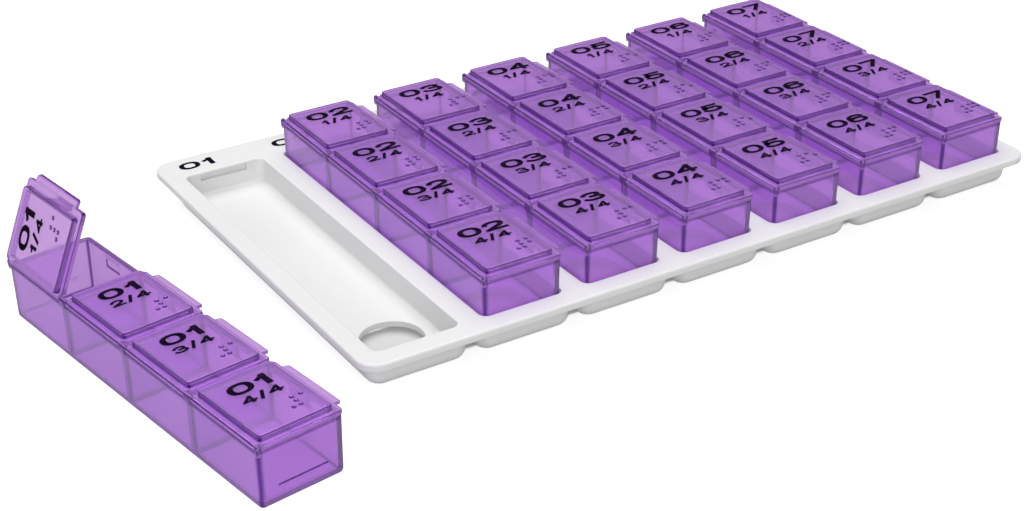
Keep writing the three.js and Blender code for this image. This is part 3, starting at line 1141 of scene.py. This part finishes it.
@dataclass
class Lid:
    """A compartment's lid about its hinge axis: flange, raised panel, thumb tab, latch hook, pins and dots.

    The hollow's edge is given inwards from the panel's shell and down from its ceiling, and the hook's foot
    outwards from the hook's face and up from its low end. The tab's places are shares of its reach, each with
    how much slimmer and narrower the tab is there.
    """

    week: Week
    box: DayBox
    length: float = 28.6
    flange: float = 1.3
    root: float = -0.3
    reach: float = 23.75
    corner: float = 1.2
    edge: float = 0.35
    under_edge: float = 0.2
    panel: Area = Area(0.85, 21.95, -13.3, 13.3)
    panel_top: float = 2.25
    panel_corner: float = 1.5
    panel_edge: float = 0.4
    panel_lean: float = 0.2
    shell: float = 1.1
    hollow_edge: Profile = ((0.1, -0.3), (0.2, -0.1), (0.4, 0))
    hollow_corner: float = 1.9
    pin: float = 0.45
    pin_length: float = 0.9
    notch: Pair = (1.45, 13.2)
    notch_out: float = 2
    notch_top: float = 0.9
    tab_half: float = 10.5
    tab_root: float = 1
    tab_reach: float = 25.95
    tab_drop: float = 0.5
    tab_thickness: float = 0.9
    tab_places: Sequence[Triple] = ((0, 0, 0), (0.3, 0, 0), (0.6, 0, 0), (0.85, 0, 0.15), (1, 0.25, 0.8))
    hook_half: float = 3.5
    hook_gap: float = 0.9
    hook_low: float = -3.85
    hook_under: float = 0.5
    hook_thickness: float = 0.9
    hook_foot: Profile = ((-0.9, 0.2), (-0.7, 0), (0, 0), (0.3, 0.3), (0, 0.6))
    dots: TactileNumber = TactileNumber()
    dots_place: Pair = (17.4, -6.2)

    def build(self, day: int) -> Object:
        """One lid as a closed solid.

        Args:
            day: the day whose tactile number it carries.

        Returns:
            The solid, in millimetres about the middle of its hinge axis.
        """
        half = self.flange / 2
        plate = Area(self.root, self.reach, -self.length / 2, self.length / 2)
        under = rounded(Edge.BOTTOM, 0, -half, self.under_edge, steps=2)
        over = rounded(Edge.TOP, 0, half, self.edge, steps=4)
        flange = MeshDraft().pan(plate, [*under, *over], self.corner, steps=6)
        raised = [(0, 0), *rounded(Edge.TOP, self.panel_lean, self.panel_top, self.panel_edge, steps=4)]
        panel = MeshDraft().pan(self.panel, raised, self.panel_corner, steps=6)
        ceiling = self.panel_top - self.shell
        inside = [(self.shell + a, ceiling + b) for a, b in self.hollow_edge]
        sunk = [(self.shell, -half - OVERRUN), *inside]
        hollow = MeshDraft().pan(self.panel, sunk, self.hollow_corner, steps=5)
        extras = self.hook()
        self.dots.add(extras, day, (*self.dots_place, self.panel_top))
        lid = flange.made("lid")
        for name, draft, how in (
            ("panel", panel, Join.ADD),
            ("hollow", hollow, Join.CUT),
            ("notches", self.notches(), Join.CUT),
            ("pins", self.pins(), Join.ADD),
            ("tab", self.tab(), Join.ADD),
            ("hook_and_dots", extras, Join.ADD),
        ):
            lid = combined(lid, draft.made(name), how)
        return lid

    def notches(self) -> MeshDraft:
        """The corners that are cut away for the box's ears.

        Returns:
            The draft.
        """
        draft = MeshDraft()
        reach, start = self.notch
        out, top = -self.notch_out, self.notch_top
        for end in (-1, 1):
            near, far = sorted((end * start, end * (self.length / 2 + OVERRUN)))
            draft.bar([(out, out), (reach, out), (reach, top), (out, top)], near, far)
        return draft

    def pins(self) -> MeshDraft:
        """The barrel along the hinge edge with a pin at each end.

        Returns:
            The draft.
        """
        pin, barrel, start = self.pin, self.flange / 2, self.notch[1]
        tip = start + self.pin_length
        half = [(barrel, start - SINK), (pin, start), (pin, tip)]
        places = [(radius, -y) for radius, y in reversed(half)] + half
        return MeshDraft().solid([[(a, y, b) for a, b in disc(radius, PIN_SIDES)] for radius, y in places])

    def tab(self) -> MeshDraft:
        """The thumb tab, which droops a little towards its edge.

        Returns:
            The draft.
        """
        top = self.flange / 2
        rings = []
        for share, slim, narrow in self.tab_places:
            x = self.reach - self.tab_root + (self.tab_reach - self.reach + self.tab_root) * share
            drop = self.tab_drop * share**2
            low, high = top - self.tab_thickness - drop + slim, top - drop - slim - SINK
            reach = self.tab_half - narrow
            rings.append([(x, -reach, low), (x, reach, low), (x, reach, high), (x, -reach, high)])
        return MeshDraft().solid(rings)

    def hook(self) -> MeshDraft:
        """The latch hook that hangs from the panel.

        Returns:
            The draft.
        """
        face = self.reach - self.box.wall - self.hook_gap
        foot = [(face + a, self.hook_low + b) for a, b in self.hook_foot]
        top = self.panel_top - self.hook_under
        section = [*foot, (face, top), (face - self.hook_thickness, top)]
        return MeshDraft().bar(section, -self.hook_half, self.hook_half)

    def dress(self, material: Material) -> list[Object]:
        """Builds every lid in the place of its node.

        Args:
            material: the lids' finish.

        Returns:
            The pieces.
        """
        pieces = []
        for day in self.week.all_days():
            mesh = finished(self.build(day), material)
            for dose in self.week.all_doses():
                place = self.week.lid_place(day, dose, self.box.hinge)
                piece = placed(f"lid_shell_{day}_{dose}", mesh, place)
                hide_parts(f"lid_{day}_{dose}")
                pieces.append(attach(piece, f"lid_{day}_{dose}"))
        return pieces


# Degrees in one straight piece of a bend, and the power that makes its oval squarish.
BEND_STEP = 15
BEND_POWER = 0.85


def bend(x: float, y: float, across: float, up: float, start: float, end: float) -> list[Pair]:
    """A piece of a squarish oval.

    Args:
        x: the oval's middle.
        y: the oval's middle.
        across: its half width.
        up: its half height.
        start: the angle in degrees where the piece starts.
        end: the angle where it ends.

    Returns:
        The points along it.
    """
    steps = max(2, round(abs(end - start) / BEND_STEP))
    points = []
    for i in range(steps + 1):
        angle = math.radians(start + (end - start) * i / steps)
        c, s = math.cos(angle), math.sin(angle)
        wide, high = math.copysign(abs(c) ** BEND_POWER, c), math.copysign(abs(s) ** BEND_POWER, s)
        points.append((x + across * wide, y + up * high))
    return points


# The middle lines of the strokes of each figure, as shares of its width and height.
STROKES: dict[str, list[list[Pair]]] = {
    "0": [bend(0.5, 0.5, 0.5, 0.5, 0, 345)],
    "1": [[(0.75, 0), (0.75, 1)], [(0.75, 0.95), (0.1, 0.68)]],
    "2": [bend(0.5, 0.7, 0.46, 0.3, 172, -38) + [(0.04, 0.03)], [(0, 0), (1, 0)]],
    "3": [bend(0.47, 0.755, 0.42, 0.245, 165, -90), bend(0.5, 0.26, 0.5, 0.26, 90, -165)],
    "4": [[(0.74, 0), (0.74, 1)], [(0.7, 1), (0.02, 0.27)], [(0, 0.25), (1, 0.25)]],
    "5": [[(0.16, 1), (0.92, 1)], [(0.17, 1), (0.09, 0.5)], bend(0.48, 0.31, 0.52, 0.31, 148, -158)],
    "6": [bend(0.5, 0.3, 0.5, 0.3, 0, 345), bend(0.52, 0.45, 0.52, 0.55, 38, 190)],
    "7": [[(0, 1), (1, 1)], [(0.97, 0.98), (0.36, 0)]],
    "/": [[(0, -0.08), (1, 1.08)]],
}
# The figures whose first stroke runs into itself, and those that are narrower than the others.
LOOPS = "06"
NARROW = {"1": 0.62, "/": 0.6}
# The least cosine at a stroke's corner, so that a sharp one doesn't grow a spike.
LEAST_MITRE = 0.5


@dataclass(frozen=True)
class Lettering:
    """The size of the figures in one printed line, in millimetres."""

    height: float
    width: float
    upright: float
    level: float
    space: float
    thickness: float = 0.04

    def step(self, figure: str) -> float:
        """How wide a figure is."""
        return self.width * NARROW.get(figure, 1.0)

    def stroke(self, line: Profile, closed: bool, figure: str) -> MeshDraft:
        """One stroke as a flat ribbon.

        Args:
            line: its middle line, as shares of the figure's size.
            closed: whether it runs into itself.
            figure: the figure that it belongs to.

        Returns:
            The draft of the ribbon.
        """
        across, up = self.upright / 2, self.level / 2
        wide, high = self.step(figure) - self.upright, self.height - self.level
        middle = [Vector((across + x * wide, up + y * high)) for x, y in line]
        count = len(middle)
        rings = []
        for i, point in enumerate(middle):
            before = middle[(i - 1) % count] if closed or i else None
            after = middle[(i + 1) % count] if closed or i < count - 1 else None
            ways = [w.normalized() for w in (before and point - before, after and after - point) if w]
            way = sum(ways, Vector((0, 0))).normalized()
            reach = 1 / max(LEAST_MITRE, way.dot(ways[0]))
            side = Vector((-way.y * across, way.x * up)) * reach
            cap = Vector((way.x * across, way.y * up))
            end = Vector((0, 0)) if before and after else (cap if after is None else -cap)
            left, right = point + side + end, point - side + end
            top = self.thickness
            rings.append([(*left, 0), (*right, 0), (*right, top), (*left, top)])
        draft = MeshDraft()
        if closed:
            first, last = draft.skin(rings)
            draft.bridge(last, first)
            return draft
        return draft.solid(rings)

    @cache
    def mesh(self, figure: str) -> Mesh:
        """The closed mesh of one figure, made once.

        Args:
            figure: the figure.

        Returns:
            The mesh, in millimetres from its lower left corner.
        """
        whole = None
        for i, line in enumerate(STROKES[figure]):
            stroke = self.stroke(line, figure in LOOPS and i == 0, figure).made("stroke")
            whole = combined(whole, stroke, Join.ADD) if whole else stroke
        mesh = whole.data
        bpy.data.objects.remove(whole)
        return mesh


@dataclass
class Numbering:
    """The printed numbers: day and dose on each lid, and the day on the tray's wide flange.

    The lines' places are those of their lower middle, from the middle of a lid or from that of a day's well.
    """

    week: Week
    tray: Tray
    lid: Lid
    lift: float = 0.02
    day_line: Lettering = Lettering(4.9, 6.9, 1.7, 1.05, 0.75)
    dose_line: Lettering = Lettering(3.1, 3.9, 1.0, 0.68, 0.55)
    tray_line: Lettering = Lettering(4.7, 6.6, 1.6, 1.0, 0.8)
    day_place: Pair = (0.1, 4.1)
    dose_place: Pair = (0.1, -0.4)
    tray_place: Pair = (-5.7, 60.1)

    def piece(self, name: str, lines: Sequence[tuple[str, Lettering, Vector]], ink: Material) -> Object:
        """A printed piece of one or more lines.

        Args:
            name: the piece's name.
            lines: the text, size and lower middle of each line.
            ink: the ink.

        Returns:
            The piece.
        """
        draft = MeshDraft()
        for text, style, low in lines:
            x = -(sum(map(style.step, text)) + style.space * (len(text) - 1)) / 2
            for figure in text:
                mesh = style.mesh(figure)
                start = len(draft.points)
                draft.points.extend(tuple((low + Vector((x, 0, 0)) + v.co) * MM) for v in mesh.vertices)
                draft.faces.extend(tuple(start + i for i in face.vertices) for face in mesh.polygons)
                x += style.step(figure) + style.space
        mesh = bpy.data.meshes.new(name)
        mesh.from_pydata(draft.points, [], draft.faces)
        mesh.materials.append(ink)
        return linked(name, mesh)

    def dress(self, ink: Material) -> list[Object]:
        """Prints every number.

        Args:
            ink: the ink.

        Returns:
            The pieces.
        """
        pieces = []
        middle = -self.lid.box.hinge[0]
        top = self.lid.panel_top + self.lift
        day_low, dose_low = (Vector((middle + x, y, top)) for x, y in (self.day_place, self.dose_place))
        x, y = self.tray_place
        for day in self.week.all_days():
            for dose in self.week.all_doses():
                lines = [
                    (f"0{day}", self.day_line, day_low),
                    (f"{dose}/{self.week.doses}", self.dose_line, dose_low),
                ]
                made = self.piece(f"lid_figures_{day}_{dose}", lines, ink)
                made.matrix_world = self.week.lid_place(day, dose, self.lid.box.hinge)
                pieces.append(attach(made, f"lid_{day}_{dose}"))
            low = Vector((self.week.day_x(day) + x, y, self.tray.height + self.lift))
            made = self.piece(f"tray_figures_{day}", [(f"0{day}", self.tray_line, low)], ink)
            made.matrix_world = self.week.middle()
            pieces.append(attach(made, "tray"))
        return pieces


# Studio


@dataclass(frozen=True)
class Lamp:
    """A square soft light that looks at the object, in metres and watts."""

    name: str
    place: Triple
    size: float
    watts: float

    def hang(self) -> None:
        """Puts the lamp in the scene."""
        data = bpy.data.lights.new(self.name, "AREA")
        data.energy = self.watts
        data.size = self.size
        made = linked(self.name, data)
        made.location = self.place
        made.rotation_mode = "QUATERNION"
        made.rotation_quaternion = Vector(self.place).to_track_quat("Z", "Y")


@dataclass
class Studio:
    """The floor, the soft light and the camera of the photograph, in metres."""

    floor_finish: Material
    floor_half: float = 3.0
    floor_drop: float = 0.0002
    sky: float = 1.0
    lamps: Sequence[Lamp] = (
        Lamp("overhead", (0.1, 0.5, 1.9), 2.4, 58.0),
        Lamp("fill", (-0.5, -1.6, 0.8), 1.4, 21.0),
        Lamp("side", (-1.8, -0.1, 0.7), 1.2, 8.5),
    )
    lens: float = 65.533
    sensor: float = 36
    nearest: float = 0.01
    camera_place: Triple = (-0.2606203, -0.4057601, 0.2549541)
    camera_right: Triple = (0.846378, -0.532554, -0.005491)
    camera_up: Triple = (0.258896, 0.402405, 0.878091)
    camera_back: Triple = (-0.465421, -0.744619, 0.478462)
    bounces: int = 14
    clear_bounces: int = 32

    def floor(self) -> None:
        """Lays the floor under the object."""
        half, low = self.floor_half, -self.floor_drop
        mesh = bpy.data.meshes.new("floor")
        corners = [(x * half, y * half, low) for x, y in ((-1, -1), (1, -1), (1, 1), (-1, 1))]
        mesh.from_pydata(corners, [], [(0, 1, 2, 3)])
        mesh.materials.append(self.floor_finish)
        made = linked("floor", mesh)

    def camera(self) -> None:
        """Sets the camera at the photograph's view."""
        data = bpy.data.cameras.new("camera")
        data.sensor_width = self.sensor
        data.lens = self.lens
        data.clip_start = self.nearest
        made = linked("camera", data)
        turn = Matrix((self.camera_right, self.camera_up, self.camera_back)).transposed().to_4x4()
        made.matrix_world = Matrix.Translation(self.camera_place) @ turn
        bpy.context.scene.camera = made

    def build(self) -> None:
        """Sets up the floor, the light and the camera."""
        self.floor()
        world = bpy.data.worlds.new("studio")
        world.use_nodes = True
        world.node_tree.nodes["Background"].inputs["Strength"].default_value = self.sky
        scene = bpy.context.scene
        scene.world = world
        for lamp in self.lamps:
            lamp.hang()
        self.camera()
        scene.view_settings.view_transform = "Standard"
        scene.cycles.max_bounces = self.bounces
        scene.cycles.transmission_bounces = self.bounces
        scene.cycles.transparent_max_bounces = self.clear_bounces


def main() -> None:
    """Builds the object round its frame, and the studio round the object."""
    logging.basicConfig(level=logging.INFO, format="%(name)s: %(message)s")
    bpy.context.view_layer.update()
    groups = Groups(moulded_surface(), handling_marks(), painted_shade_faces())
    week = Week()
    box = DayBox(week)
    lid = Lid(week, box)
    tray = Tray(week)
    made = [tray.dress(WhitePlastic("white moulding").material(groups))]
    made += box.dress(BOX_PLASTIC.material(groups))
    made += lid.dress(LID_PLASTIC.material(groups))
    made += Numbering(week, tray, lid).dress(PrintInk("number ink").material(groups))
    for piece in made:
        log.info("%s: %d faces", piece.name, len(piece.data.polygons))
    Studio(PaleFloor("pale floor", tray.holes_middle()).material(groups)).build()


if __name__ == "__main__":
    main()
